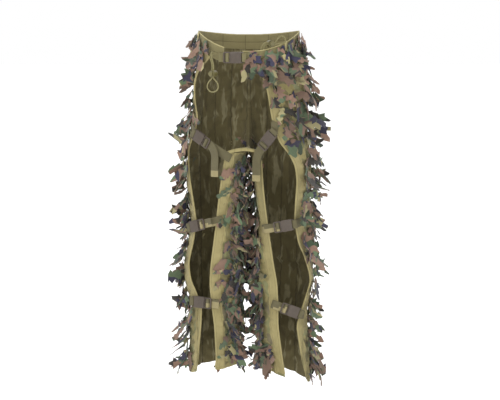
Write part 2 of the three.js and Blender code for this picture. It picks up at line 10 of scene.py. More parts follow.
import bmesh
import bpy
import numpy as np
from mathutils import Matrix, Vector, noise
from mathutils.bvhtree import BVHTree

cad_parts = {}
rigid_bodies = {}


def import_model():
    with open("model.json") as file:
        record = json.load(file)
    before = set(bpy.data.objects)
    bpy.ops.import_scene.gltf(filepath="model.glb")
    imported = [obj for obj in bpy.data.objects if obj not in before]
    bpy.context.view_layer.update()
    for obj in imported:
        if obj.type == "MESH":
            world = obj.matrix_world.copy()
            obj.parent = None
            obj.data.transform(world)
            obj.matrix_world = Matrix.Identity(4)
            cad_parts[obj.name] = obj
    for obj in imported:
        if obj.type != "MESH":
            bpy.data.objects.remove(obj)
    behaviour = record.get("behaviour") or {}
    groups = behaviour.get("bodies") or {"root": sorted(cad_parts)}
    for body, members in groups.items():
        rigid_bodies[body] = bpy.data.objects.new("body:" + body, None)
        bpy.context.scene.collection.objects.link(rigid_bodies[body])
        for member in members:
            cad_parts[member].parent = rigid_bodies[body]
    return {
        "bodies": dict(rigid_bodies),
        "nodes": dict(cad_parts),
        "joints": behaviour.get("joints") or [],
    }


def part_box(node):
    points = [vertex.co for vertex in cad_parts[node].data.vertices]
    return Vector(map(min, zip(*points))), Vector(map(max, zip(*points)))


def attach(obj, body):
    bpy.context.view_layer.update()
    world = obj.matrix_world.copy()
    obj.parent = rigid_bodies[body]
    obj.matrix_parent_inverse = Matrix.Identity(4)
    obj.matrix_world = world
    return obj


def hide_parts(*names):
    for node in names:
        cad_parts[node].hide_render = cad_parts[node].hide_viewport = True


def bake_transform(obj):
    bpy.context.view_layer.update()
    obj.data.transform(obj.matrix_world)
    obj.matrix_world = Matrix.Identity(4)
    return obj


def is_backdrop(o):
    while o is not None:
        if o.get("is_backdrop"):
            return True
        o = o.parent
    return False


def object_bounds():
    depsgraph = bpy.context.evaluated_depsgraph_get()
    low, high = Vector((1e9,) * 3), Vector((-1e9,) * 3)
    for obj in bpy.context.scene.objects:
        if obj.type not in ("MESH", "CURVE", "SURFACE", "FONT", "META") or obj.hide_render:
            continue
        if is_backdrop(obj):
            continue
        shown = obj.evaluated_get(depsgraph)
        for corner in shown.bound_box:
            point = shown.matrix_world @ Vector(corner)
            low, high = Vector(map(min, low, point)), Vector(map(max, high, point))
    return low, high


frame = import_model()
cad_low, cad_high = (np.array(corner, float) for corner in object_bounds())

RIGHT, LEFT = -1, 1
LABEL = {RIGHT: "right", LEFT: "left"}
rng = np.random.default_rng(11)


# ---------------------------------------------------------------- camera
PICTURE_WIDTH = 1.46
CAMERA_DISTANCE = 5.0
CAMERA_RISE = math.radians(5.5)
AIM = Vector((0.003, 0, -0.493))


def linked(name, data):
    """A new object placed in the scene."""
    made = bpy.data.objects.new(name, data)
    bpy.context.scene.collection.objects.link(made)
    return made


def add_camera():
    data = bpy.data.cameras.new("camera")
    data.sensor_width = 36
    data.lens = data.sensor_width * CAMERA_DISTANCE / PICTURE_WIDTH
    camera = linked("camera", data)
    away = Vector((0, -math.cos(CAMERA_RISE), math.sin(CAMERA_RISE)))
    camera.location = AIM + away * CAMERA_DISTANCE
    camera.rotation_euler = (-away).to_track_quat("-Z", "Y").to_euler()
    bpy.context.scene.camera = camera


add_camera()


# ---------------------------------------------------------------- materials
def rgb(code):
    """A linear colour from sRGB hex."""
    parts = [int(code[i : i + 2], 16) / 255 for i in (0, 2, 4)]
    return [c / 12.92 if c <= 0.04045 else ((c + 0.055) / 1.055) ** 2.4 for c in parts] + [1]


class Shader:
    """A short way to write a material's nodes."""

    def __init__(self, name, roughness=0.85, sheen=0.0):
        self.material = bpy.data.materials.new(name)
        self.material.use_nodes = True
        self.tree = self.material.node_tree
        self.principled = self.tree.nodes["Principled BSDF"]
        self.principled.inputs["Roughness"].default_value = roughness
        self.principled.inputs["Sheen Weight"].default_value = sheen
        self.principled.inputs["Sheen Roughness"].default_value = 0.6

    def node(self, kind, inputs=None, **settings):
        made = self.tree.nodes.new(kind)
        for key, value in settings.items():
            setattr(made, key, value)
        for key, value in (inputs or {}).items():
            self.feed(made.inputs[key], value)
        return made

    def feed(self, socket, value):
        if isinstance(value, bpy.types.NodeSocket):
            self.tree.links.new(value, socket)
        else:
            socket.default_value = value

    def uv(self, name="cloth"):
        return self.node("ShaderNodeUVMap", uv_map=name).outputs[0]

    def scaled(self, vector, scale):
        return self.node("ShaderNodeVectorMath", {0: vector, 1: scale}, operation="MULTIPLY").outputs[0]

    def shifted(self, vector, offset):
        return self.node("ShaderNodeVectorMath", {0: vector, 1: offset}, operation="ADD").outputs[0]

    def noise(self, vector, scale, detail=3, rough=0.55, distortion=0.0):
        inputs = {"Vector": vector, "Scale": scale, "Detail": detail}
        inputs.update({"Roughness": rough, "Distortion": distortion})
        return self.node("ShaderNodeTexNoise", inputs).outputs["Fac"]

    def step(self, value, low, high):
        inputs = {"Value": value, "From Min": low, "From Max": high}
        return self.node("ShaderNodeMapRange", inputs, interpolation_type="SMOOTHSTEP").outputs[0]

    def mix(self, share, first, second, blend="MIX"):
        made = self.node("ShaderNodeMix", data_type="RGBA", blend_type=blend)
        self.feed(made.inputs[0], share)
        self.feed(made.inputs[6], first)
        self.feed(made.inputs[7], second)
        return made.outputs[2]

    def math(self, operation, first, second=0.0):
        return self.node("ShaderNodeMath", {0: first, 1: second}, operation=operation).outputs[0]

    def parts(self, vector):
        return self.node("ShaderNodeSeparateXYZ", {0: vector}).outputs

    def lines(self, value, pitch, width):
        """1 on lines that repeat at a pitch, 0 between them."""
        share = self.math("FRACT", self.math("ADD", self.math("DIVIDE", value, pitch), 0.5))
        away = self.math("MULTIPLY", self.math("ABSOLUTE", self.math("SUBTRACT", share, 0.5)), pitch)
        return self.math("SUBTRACT", 1.0, self.step(away, width * 0.4, width))

    def tint(self, base, mask, strength, code):
        """The base with a second colour laid over it, where the mask is."""
        return self.mix(self.math("MULTIPLY", mask, strength), base, rgb(code))

    def wave(self, vector, scale, distortion, direction, detail=2.0):
        inputs = {"Vector": vector, "Scale": scale, "Distortion": distortion, "Detail": detail}
        return self.node("ShaderNodeTexWave", inputs, bands_direction=direction).outputs["Fac"]

    def place(self):
        return self.node("ShaderNodeTexCoord").outputs["Object"]

    def colour(self, value):
        self.feed(self.principled.inputs["Base Color"], value)

    def bump(self, heights, distance):
        total = heights[0]
        for height in heights[1:]:
            total = self.math("ADD", total, height)
        made = self.node("ShaderNodeBump", {"Height": total, "Distance": distance, "Strength": 1.0})
        self.feed(self.principled.inputs["Normal"], made.outputs[0])

    def weave(self, vector, pitch):
        """Crossed threads of the given pitch in metres, from 0 to 1."""
        waves = [self.wave(vector, 1 / pitch / math.tau * 2, 0.6, axis, 1.0) for axis in ("X", "Y")]
        return self.math("MULTIPLY", self.math("ADD", *waves), 0.5)


STITCH_PITCH = 0.048


def cloth_inside():
    s = Shader("cloth_inside", 0.9, 0.05)
    uv = s.uv()
    tall = s.scaled(uv, (1, 0.3, 1))
    base = s.mix(s.noise(uv, 14), rgb("5c5333"), rgb("6c6340"))
    light = s.step(s.noise(tall, 52, 2, 0.5, 0.6), 0.53, 0.64)
    base = s.tint(base, light, 0.72, "928a69")
    dark = s.step(s.noise(s.shifted(tall, (3.1, 1.7, 0)), 33, 2, 0.5, 0.8), 0.54, 0.66)
    base = s.tint(base, dark, 0.5, "433b22")
    across = s.parts(uv)[0]
    seam = s.lines(across, STITCH_PITCH, 0.0022)
    base = s.tint(base, seam, 0.55, "352e1b")
    thread = s.weave(uv, 0.0011)
    base = s.tint(base, thread, 0.14, "332c18")
    s.colour(base)
    s.bump([thread, s.noise(uv, 260, 2)], 0.0003)
    return s.material


LEAF_GROUND = ("795d4c", "9d7d69")
CLOTH_GROUND = ("80764a", "9d9160")
LEAF_PATCHES = (
    (2.3, 0.4, 0.525, "5c6e50"),
    (5.1, 3.3, 0.570, "384831"),
    (8.7, 1.9, 0.605, "a39a6e"),
    (1.2, 7.7, 0.580, "2d2b45"),
    (6.6, 9.1, 0.600, "2b2620"),
)


def camo(s, vector, scale, ground):
    """Woodland print: a ground colour with greens, pale khaki, navy and near-black patches."""
    colour = s.mix(s.noise(vector, scale * 3), rgb(ground[0]), rgb(ground[1]))
    for x, y, edge, code in LEAF_PATCHES:
        patch = s.step(s.noise(s.shifted(vector, (x, y, 0)), scale, 2, 0.5, 0.7), edge, edge + 0.02)
        tone = s.mix(s.noise(vector, scale * 6), rgb(code), [c * 1.3 for c in rgb(code)[:3]] + [1])
        colour = s.mix(patch, colour, tone)
    return colour


def cloth_outside():
    s = Shader("cloth_outside", 0.9, 0.1)
    uv = s.uv()
    worn = s.mix(s.noise(uv, 30), rgb("8d8252"), rgb("a59a67"))
    base = s.mix(0.45, worn, camo(s, uv, 14, CLOTH_GROUND))
    thread = s.weave(uv, 0.0011)
    base = s.tint(base, thread, 0.12, "5a5232")
    s.colour(base)
    s.bump([thread, s.noise(uv, 240, 2)], 0.0003)
    return s.material


def khaki_tape(name, first, second):
    s = Shader(name, 0.88, 0.1)
    uv = s.uv()
    base = s.mix(s.noise(uv, 18, 3), rgb(first), rgb(second))
    base = s.tint(base, s.step(s.noise(uv, 60, 2), 0.5, 0.75), 0.35, "857a4c")
    thread = s.weave(uv, 0.0012)
    base = s.tint(base, thread, 0.15, "6f6540")
    across = s.parts(uv)[0]
    seams = s.lines(s.math("ADD", across, 0.0035), 0.019, 0.0011)
    base = s.tint(base, seams, 0.4, "625838")
    s.colour(base)
    folds = s.math("MULTIPLY", s.noise(s.scaled(uv, (1, 0.3, 1)), 70, 2), 9.0)
    s.bump([thread, s.noise(uv, 300, 2), folds], 0.0003)
    return s.material


BAND_SEAM = 0.068
BAND_CHANNEL = 0.021
BAND_HEIGHT = 0.045
# Height of the pale strip painted along the band's top as a highlight on its upper rim.
BAND_RIM_HIGHLIGHT = 0.0028


def band_cloth(name, first, second):
    s = Shader(name, 0.9, 0.1)
    uv = s.uv()
    base = s.mix(s.noise(uv, 22, 3), rgb(first), rgb(second))
    around, height, _ = s.parts(uv)
    rows = s.lines(s.math("SUBTRACT", height, BAND_CHANNEL), 1.0, 0.0014)
    base = s.tint(base, rows, 0.6, "4f472c")
    seams = s.lines(around, BAND_SEAM, 0.0016)
    base = s.tint(base, seams, 0.55, "4f472c")
    thread = s.weave(uv, 0.0012)
    base = s.tint(base, thread, 0.15, "514a2e")
    # Painted highlight: a pale strip along the top of the band and over its top rim faces, where light falls
    # on the upper edge.
    rim_highlight = s.step(height, BAND_HEIGHT - BAND_RIM_HIGHLIGHT, BAND_HEIGHT - 0.8 * BAND_RIM_HIGHLIGHT)
    base = s.mix(rim_highlight, base, rgb("b3a876"))
    s.colour(base)
    s.bump([thread, s.noise(s.scaled(uv, (1, 0.4, 1)), 120, 2)], 0.0005)
    return s.material


def leaf_cloth():
    s = Shader("leaf_cloth", 0.85, 0.12)
    uv = s.uv("print")
    base = camo(s, uv, 15, LEAF_GROUND)
    # Painted shade: broad patches of each leaf's print darkened towards near-black, standing in for the
    # shadows the leaves cast on one another.
    painted_shade = s.step(s.noise(s.scaled(uv, (0.35, 0.35, 1)), 9, 1), 0.36, 0.64)
    base = s.mix(s.math("SUBTRACT", 0.42, s.math("MULTIPLY", painted_shade, 0.42)), base, rgb("2a261c"))
    thread = s.weave(uv, 0.0013)
    base = s.tint(base, thread, 0.12, "2c2a1e")
    s.colour(base)
    s.bump([thread, s.noise(uv, 90, 2)], 0.0004)
    return s.material


def webbing(name, first, second):
    s = Shader(name, 0.75, 0.1)
    uv = s.uv()
    pattern = s.math("MULTIPLY", s.wave(uv, 180, 0.4, "X"), s.wave(uv, 130, 0.8, "Y"))
    base = s.mix(s.noise(uv, 60), rgb(first), rgb(second))
    base = s.tint(base, pattern, 0.4, "35311d")
    s.colour(base)
    s.bump([pattern], 0.0006)
    return s.material


def moulded_plastic(name, first, second, roughness=0.42):
    s = Shader(name, roughness)
    place = s.place()
    s.colour(s.mix(s.noise(place, 90, 3), rgb(first), rgb(second)))
    s.feed(s.principled.inputs["Roughness"], s.step(s.noise(place, 200), -0.6, 1.9))
    s.bump([s.noise(place, 1500, 2)], 0.00012)
    return s.material


def braided_cord():
    s = Shader("braided_cord", 0.8, 0.1)
    twist = s.wave(s.place(), 190, 3.0, "DIAGONAL")
    s.colour(s.mix(twist, rgb("6a6440"), rgb("8f8758")))
    s.bump([twist], 0.0005)
    return s.material


def spring_steel():
    s = Shader("spring_steel", 0.3)
    s.principled.inputs["Metallic"].default_value = 1
    s.colour(s.mix(s.noise(s.place(), 400), rgb("8d8f92"), rgb("b9bbbe")))
    return s.material


MATERIAL = {
    "inside": cloth_inside(),
    "outside": cloth_outside(),
    "tape": khaki_tape("khaki_tape", "8b8052", "a69a6b"),
    "loop": khaki_tape("pale_tape", "b5aa76", "cdc190"),
    "band_inside": band_cloth("band_inside", "797048", "8f855b"),
    "band_outside": band_cloth("band_outside", "736b45", "8c8359"),
    "leaf": leaf_cloth(),
    "web": webbing("webbing", "534c30", "665f3e"),
    "belt": webbing("belt_webbing", "69623f", "7c754d"),
    "tab": webbing("tab_webbing", "8b7f56", "a1956a"),
    "buckle": moulded_plastic("buckle_plastic", "3d332a", "51463b"),
    "lock": moulded_plastic("lock_plastic", "595331", "6f6841", 0.5),
    "cord": braided_cord(),
    "steel": spring_steel(),
}


# ---------------------------------------------------------------- mesh helpers
def new_object(name, mesh, body="garment", replaces=()):
    piece = linked(name, mesh)
    if replaces:
        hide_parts(*replaces)
    if body:
        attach(piece, body)
    return piece


def smooth(mesh, angle=40):
    mesh.shade_smooth()
    mesh.set_sharp_from_angle(angle=math.radians(angle))


def grid_normals(grid, outward):
    """Unit normals of a grid of points, pointing the way that outward says at each."""
    down = np.gradient(grid, axis=0)
    along = np.gradient(grid, axis=1)
    normals = np.cross(along, down)
    normals /= np.maximum(np.linalg.norm(normals, axis=2, keepdims=True), 1e-9)
    flip = np.sign((normals * outward).sum(axis=2, keepdims=True))
    return normals * np.where(flip == 0, 1, flip)


def grid_quads(rows, columns):
    """The faces of a grid of points, as their corners' numbers."""
    index = np.arange(rows * columns).reshape(rows, columns)
    corners = [index[:-1, :-1], index[:-1, 1:], index[1:, 1:], index[1:, :-1]]
    return np.stack(corners, axis=-1).reshape(-1, 4)


def closed_faces(rows, columns):
    """The faces of two grids of points, one on the other, and of the rim between them."""
    index = np.arange(rows * columns).reshape(rows, columns)
    half = rows * columns
    loop = np.concatenate([index[0, :], index[1:, -1], index[-1, -2::-1], index[-2:0:-1, 0]])
    after = np.roll(loop, -1)
    rim = np.stack([loop, after, after + half, loop + half], axis=-1)
    quads = grid_quads(rows, columns)
    return quads[:, [0, 3, 2, 1]], quads + half, rim


def write_uv(mesh, name, places):
    """A UV map that gives each face corner its point's place."""
    layer = mesh.uv_layers.new(name=name)
    corners = np.zeros(len(mesh.loops), np.int32)
    mesh.loops.foreach_get("vertex_index", corners)
    layer.data.foreach_set("uv", places[corners].astype(np.float32).ravel())


def sheet_mesh(name, inner, outer, uv, materials):
    """A closed mesh of two point grids, with materials for its two faces and its rim."""
    points = np.concatenate([inner.reshape(-1, 3), outer.reshape(-1, 3)])
    back, front, rim = closed_faces(*inner.shape[:2])
    faces = np.concatenate([back, front, rim])
    centre_normal = np.cross(outer[0, 1] - outer[0, 0], outer[1, 0] - outer[0, 0])
    if np.dot(centre_normal, outer[0, 0] - inner[0, 0]) > 0:
        faces = faces[:, ::-1]
    mesh = bpy.data.meshes.new(name)
    mesh.from_pydata(points.tolist(), [], faces.tolist())
    kinds = np.concatenate([np.zeros(len(back)), np.ones(len(front)), np.full(len(rim), 2)]).astype(np.int32)
    mesh.polygons.foreach_set("material_index", kinds)
    for material in materials:
        mesh.materials.append(material)
    write_uv(mesh, "cloth", np.concatenate([uv.reshape(-1, 2), uv.reshape(-1, 2)]))
    mesh.validate()
    smooth(mesh, 50)
    return mesh


def cad_tree(*names):
    """A ray-casting tree of CAD nodes at rest."""
    points, faces = [], []
    for name in names:
        mesh = frame["nodes"][name].data
        start = len(points)
        points += [v.co.copy() for v in mesh.vertices]
        faces += [[start + i for i in p.vertices] for p in mesh.polygons]
    return BVHTree.FromPolygons(points, faces)


def reach(tree, axis_x, angle, z, side):
    """How far out from the axis the tree's surface is, or None. Angle 0 is outward, 90 the back."""
    heading = Vector((side * math.cos(angle), math.sin(angle), 0))
    place = tree.ray_cast(Vector((axis_x, 0, z)), heading)[0]
    if place is None or place.x * side < -0.0005:
        return None
    return (place.xy - Vector((axis_x, 0)).xy).length


# ---------------------------------------------------------------- cloth traced from the CAD panels
LEG_AXIS = 0.098
CLOTH_THICKNESS = 0.0012
OUTER_ANGLES = np.radians(np.arange(-135, 224, 2.0))
INNER_ANGLES = np.radians(np.arange(135, 304, 2.0))
# Rows and columns of each traced panel's grid.
OUTER_GRID = (130, 96)
INNER_GRID = (84, 34)


def fill(values):
    """Replaces missing values with their neighbours'."""
    known = [i for i, v in enumerate(values) if v is not None]
    return np.interp(np.arange(len(values)), known, [values[i] for i in known])


END_BAND = 0.09


def limits(tree, side, angles, high, low, step=0.003):
    """The top's and the hem's z at each angle, filled in where the cloth is open there."""
    tops, bottoms = [], []
    for angle in angles:
        top = bottom = None
        z = high
        while z > high - END_BAND and top is None:
            top = z if reach(tree, side * LEG_AXIS, angle, z, side) is not None else None
            z -= step
        z = low
        while z < low + END_BAND and bottom is None:
            bottom = z if reach(tree, side * LEG_AXIS, angle, z, side) is not None else None
            z += step
        tops.append(top)
        bottoms.append(bottom)
    return fill(tops), fill(bottoms)


def resample(points, count):
    """Points at equal distances along a polyline."""
    gaps = np.linalg.norm(np.diff(points, axis=0), axis=1)
    along = np.concatenate([[0], np.cumsum(gaps)])
    wanted = np.linspace(0, along[-1], count)
    return np.stack([np.interp(wanted, along, points[:, i]) for i in range(3)], axis=1)


def level_arc(lines):
    """The level distance along each of a grid's rows."""
    gaps = np.linalg.norm(np.diff(lines[..., :2], axis=1), axis=2)
    return np.concatenate([np.zeros((len(lines), 1)), np.cumsum(gaps, axis=1)], axis=1)


def edge_angle(tree, side, hit, miss, z):
    """The angle where cloth ends, between one that hits it and one that misses it."""
    for _ in range(7):
        middle = (hit + miss) / 2
        if reach(tree, side * LEG_AXIS, middle, z, side) is None:
            miss = middle
        else:
            hit = middle
    return hit


def trace(tree, side, angles, tops, cut, bottoms, rows, columns):
    """A grid of points on a panel's inner face, carried on up to tops from its own cut edge."""
    grid = []
    axis = side * LEG_AXIS
    for share in np.linspace(0, 1, rows):
        levels = tops * (1 - share) + bottoms * share
        found = []
        for angle, z, highest in zip(angles, levels, cut):
            distance = reach(tree, axis, angle, min(z, highest), side)
            if distance is not None:
                found.append((angle, distance, z))
        found = np.array(found)
        ends = []
        for here, nudge in ((found[0], -0.035), (found[-1], 0.035)):
            z = min(here[2], np.interp(here[0], angles, cut))
            angle = edge_angle(tree, side, here[0], here[0] + nudge, z)
            ends.append((angle, reach(tree, axis, angle, z, side) or here[1], here[2]))
        found = np.concatenate([[ends[0]], found, [ends[1]]])
        points = np.stack(
            [
                axis + side * found[:, 1] * np.cos(found[:, 0]),
                found[:, 1] * np.sin(found[:, 0]),
                found[:, 2],
            ],
            axis=1,
        )
        grid.append(resample(points, columns))
    return np.array(grid)


def blurred(grid, passes):
    """Smooths a grid down its rows, to take out the CAD's facets."""
    grid = grid.copy()
    for _ in range(passes):
        grid[1:-1] = (grid[:-2] + 2 * grid[1:-1] + grid[2:]) / 4
        inner = (grid[:, :-2] + 2 * grid[:, 1:-1] + grid[:, 2:]) / 4
        grid[:, 1:-1] = inner
    return grid


STITCH_WIDTH = 0.0035
OVERSIZE = 0.05
DRAPE_FRAMES = 16
DRAPE_REACH = 0.007
BARE_EDGE = 0.024


class Panel:
    """One piece of traced cloth: its grid, outward normals, arc from the edge and stitch lines."""

    def __init__(self, side, grid, reference):
        self.side = side
        self.grid = blurred(grid, 4)
        rows, columns = grid.shape[:2]
        centre = np.abs(self.grid[:, -1, 0]) < 0.005
        self.grid[centre, -1, 0] = side * 0.0001
        outward = self.grid - np.array([side * LEG_AXIS, 0, 0])
        outward[..., 2] = 0
        self.normals = grid_normals(self.grid, outward)
        self.arcs = level_arc(self.grid)
        # Distance across from a plumb reference line, so that stitch lines hang straight.
        at_reference = [np.interp(reference[i], np.arange(columns), self.arcs[i]) for i in range(rows)]
        self.across = self.arcs - np.array(at_reference)[:, None]
        self.folds()
        self.drape()
        self.normals = grid_normals(self.grid, outward)

    def drape(self):
        """Lets slightly oversize cloth sag and wrinkle between its edges, top and stitch lines."""
        rows, columns = self.grid.shape[:2]
        start = self.grid.reshape(-1, 3)
        mesh = bpy.data.meshes.new("draping")
        mesh.from_pydata(start.tolist(), [], grid_quads(rows, columns).tolist())
        piece = linked("draping", mesh)
        held = piece.vertex_groups.new(name="held")
        edge = np.minimum(self.arcs, self.arcs[:, -1:] - self.arcs)
        weight = np.maximum(np.clip(1.3 - edge / 0.016, 0, 1), 0.8 * self.stitched)
        weight[:2] = 1
        for number, value in enumerate(weight.ravel()):
            if value > 0.02:
                held.add([number], float(value), "REPLACE")
        cloth = piece.modifiers.new("cloth", "CLOTH")
        settings = cloth.settings
        settings.quality = 4
        settings.mass = 0.25
        settings.tension_stiffness = settings.compression_stiffness = 12
        settings.shear_stiffness = 4
        settings.bending_stiffness = 0.25
        settings.air_damping = 2
        settings.shrink_min = settings.shrink_max = -OVERSIZE
        settings.vertex_group_mass = "held"
        cloth.collision_settings.use_collision = False
        scene = bpy.context.scene
        for number in range(1, DRAPE_FRAMES + 1):
            scene.frame_set(number)
        settled = piece.evaluated_get(bpy.context.evaluated_depsgraph_get()).data
        points = np.zeros(len(start) * 3)
        settled.vertices.foreach_get("co", points)
        scene.frame_set(1)
        bpy.data.objects.remove(piece)
        bpy.data.meshes.remove(mesh)
        moved = points.reshape(-1, 3) - start
        length = np.linalg.norm(moved, axis=1, keepdims=True)
        moved *= DRAPE_REACH * np.tanh(length / DRAPE_REACH) / np.maximum(length, 1e-9)
        self.grid = (start + moved).reshape(rows, columns, 3)

    def folds(self):
        rows, columns = self.grid.shape[:2]
        lift = np.zeros((rows, columns))
        for i in range(rows):
            z = self.grid[i, 0, 2]
            for j in range(columns):
                s = self.across[i, j]
                at = Vector((s * 13 + 7 * self.side, z * 2.6, 3.0))
                lift[i, j] = 0.0052 * noise.noise(at) + 0.0022 * noise.noise(Vector((s * 34, z * 7, 9.0)))
                lift[i, j] += 0.0009 * noise.noise(Vector((s * 90, z * 60, 2.0)))
        near = np.abs((self.across / STITCH_PITCH + 0.5) % 1 - 0.5) * STITCH_PITCH
        self.stitched = np.exp(-((near / STITCH_WIDTH) ** 2))
        lift += 0.0022 * self.stitched
        edge = np.minimum(self.arcs, self.arcs[:, -1:] - self.arcs)
        hold = np.clip(edge / 0.03, 0, 1)
        top = np.clip((self.grid[:, :, 2].max(axis=0)[None] - self.grid[..., 2]) / 0.03, 0, 1)
        self.grid = self.grid + self.normals * (lift * hold * top)[..., None]

    def at(self, row, arc):
        """A point, outward normal and downward direction, at a row and an arc from the first edge."""
        i = int(np.clip(row, 0, len(self.grid) - 2))
        columns = self.grid.shape[1]
        j = float(np.clip(np.interp(arc, self.arcs[i], np.arange(columns)), 0, columns - 1.001))
        k, part = int(j), j - int(j)
        point = self.grid[i, k] * (1 - part) + self.grid[i, k + 1] * part
        normal = self.normals[i, k]
        down = self.grid[i + 1, k] - self.grid[i, k]
        return point, normal, down / np.linalg.norm(down)


BAND_LAP = 0.0015


def band_bottoms(side, angles):
    """The waistband's lower edge at each angle from the leg's axis."""
    bands = [f"waistband_{name}" for name in ("back", "front_right", "front_left")]
    tree = cad_tree(*bands)
    low = min(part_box(name)[0].z for name in bands) - 0.005
    found = []
    for angle in angles:
        heading = Vector((side * math.cos(angle), math.sin(angle), 0))
        z = low
        while z < 0 and tree.ray_cast(Vector((side * LEG_AXIS, 0, z)), heading)[0] is None:
            z += 0.001
        found.append(z)
    return np.array(found)


def build_panels(side):
    label = LABEL[side]
    outer_tree = cad_tree(f"side_panel_{label}", f"back_panel_{label}")
    inner_tree = cad_tree(f"inner_leg_panel_{label}")
    both = cad_tree(f"side_panel_{label}", f"back_panel_{label}", f"inner_leg_panel_{label}")
    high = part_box(f"back_panel_{label}")[1].z + 0.01
    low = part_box(f"side_panel_{label}")[0].z - 0.01
    cut, _ = limits(outer_tree, side, OUTER_ANGLES, high, low)
    _, bottoms = limits(both, side, OUTER_ANGLES, high, low)
    tops = band_bottoms(side, OUTER_ANGLES) + BAND_LAP
    grid = trace(outer_tree, side, OUTER_ANGLES, tops, cut - 0.001, bottoms, *OUTER_GRID)
    plumb = []
    for row in grid:
        angle = np.unwrap(np.arctan2(row[:, 1], side * (row[:, 0] - side * LEG_AXIS)))
        plumb.append(np.interp(math.radians(60), angle, np.arange(len(angle))))
    outer = Panel(side, grid, plumb)
    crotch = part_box(f"inner_leg_panel_{label}")[1].z
    tops = np.full(len(INNER_ANGLES), crotch - 0.0005)
    _, bottoms = limits(both, side, INNER_ANGLES, high, low)
    grid = trace(inner_tree, side, INNER_ANGLES, tops, tops, bottoms, *INNER_GRID)
    inner = Panel(side, grid, np.zeros(len(grid)))
    return outer, inner


panels = {side: build_panels(side) for side in (RIGHT, LEFT)}


def longest(lines):
    """The length of the longest of a grid's lines."""
    return float(np.linalg.norm(np.diff(lines, axis=1), axis=2).sum(axis=1).max())


def panel_uv(panel):
    return np.stack([panel.across, panel.grid[..., 2]], axis=-1)


def part_of(panel, columns):
    """Column numbers to arrays of one panel's strip of cloth."""
    return panel.grid[:, columns], panel.normals[:, columns], panel_uv(panel)[:, columns]


def add_cloth(panel, name, columns, replaces):
    grid, normals, uv = part_of(panel, columns)
    materials = [MATERIAL["inside"], MATERIAL["outside"], MATERIAL["tape"]]
    mesh = sheet_mesh(name, grid, grid + normals * CLOTH_THICKNESS, uv, materials)
    return new_object(name, mesh, replaces=[replaces])


TAPE_WIDTH = 0.027
TAPE_THICKNESS = 0.0009
TAPE_LIFT = 0.0005
FOLD_RADIUS = 0.0014
LIP = 0.007


def add_edge_tape(panel, name, first_edge, replaces):
    """A tape folded over the cloth's edge, wide on the outside and narrow on the inside."""
    rows = len(panel.grid)
    length = panel.arcs[:, -1]
    profile = [(TAPE_WIDTH, TAPE_LIFT)]
    profile += [(TAPE_WIDTH * t, TAPE_LIFT + 0.0007 * math.sin(9 * t)) for t in (0.8, 0.6, 0.4, 0.2, 0.05)]
    for turn in np.linspace(0, math.pi, 7):
        profile.append((-FOLD_RADIUS * math.sin(turn), -0.0006 + FOLD_RADIUS * math.cos(turn)))
    profile += [(LIP * 0.5, -0.0022), (LIP, -0.0020)]
    inner = np.zeros((rows, len(profile), 3))
    outer = np.zeros_like(inner)
    uv = np.zeros((rows, len(profile), 2))
    for i in range(rows):
        edge = 0.0 if first_edge else length[i]
        sign = 1 if first_edge else -1
        here, normal, _ = panel.at(i, edge)
        inward = panel.at(i, edge + sign * 0.006)[0] - here
        inward /= np.linalg.norm(inward)
        centre = []
        for distance, height in profile:
            if distance > 0:
                point, out, _ = panel.at(i, edge + sign * distance)
            else:
                point, out = here + inward * distance, normal
            centre.append(point + out * (height + CLOTH_THICKNESS))
        centre = np.array(centre)
        ahead = np.gradient(centre, axis=0)
        down = panel.grid[min(i + 1, rows - 1), 0] - panel.grid[max(i - 1, 0), 0]
        out = np.cross(ahead, down)
        out /= np.linalg.norm(out, axis=1, keepdims=True)
        if np.dot(out[0], normal) < 0:
            out = -out
        inner[i], outer[i] = centre, centre + out * TAPE_THICKNESS
        uv[i, :, 0] = [-max(distance, 0) for distance, _ in profile]
        uv[i, :, 1] = here[2]
    mesh = sheet_mesh(name, inner, outer, uv, [MATERIAL["tape"]] * 3)
    return new_object(name, mesh, replaces=[replaces])


# ---------------------------------------------------------------- leaf garnish
# Half-widths along one side of a leaf, as shares of its width: deep lobes with pointed tips.
LEAF_EDGES = (
    (0.16, 0.62, 0.40, 1.00, 0.44, 0.78, 0.34, 0.50, 0.02),
    (0.14, 0.48, 0.46, 0.94, 0.86, 0.50, 0.66, 0.24, 0.02),
    (0.18, 0.40, 0.62, 0.60, 1.00, 0.58, 0.40, 0.30, 0.02),
    (0.20, 0.88, 0.42, 0.52, 0.38, 0.92, 0.42, 0.18, 0.02),
    (0.12, 0.30, 0.74, 0.42, 0.66, 0.36, 0.58, 0.34, 0.02),
    (0.22, 0.70, 0.80, 0.62, 0.34, 0.40, 0.72, 0.26, 0.02),
)
STATIONS = np.linspace(0, 1, 9)
LEAF_ACROSS = (-1, -0.5, 0, 0.5, 1)
LEAF_THICKNESS = 0.0007
LEAF_CLEARANCE = 0.0015
LEAF_SEARCH = 0.03
SEAT_WIDTH = 0.05
SEAT_CLEARANCE = 0.007


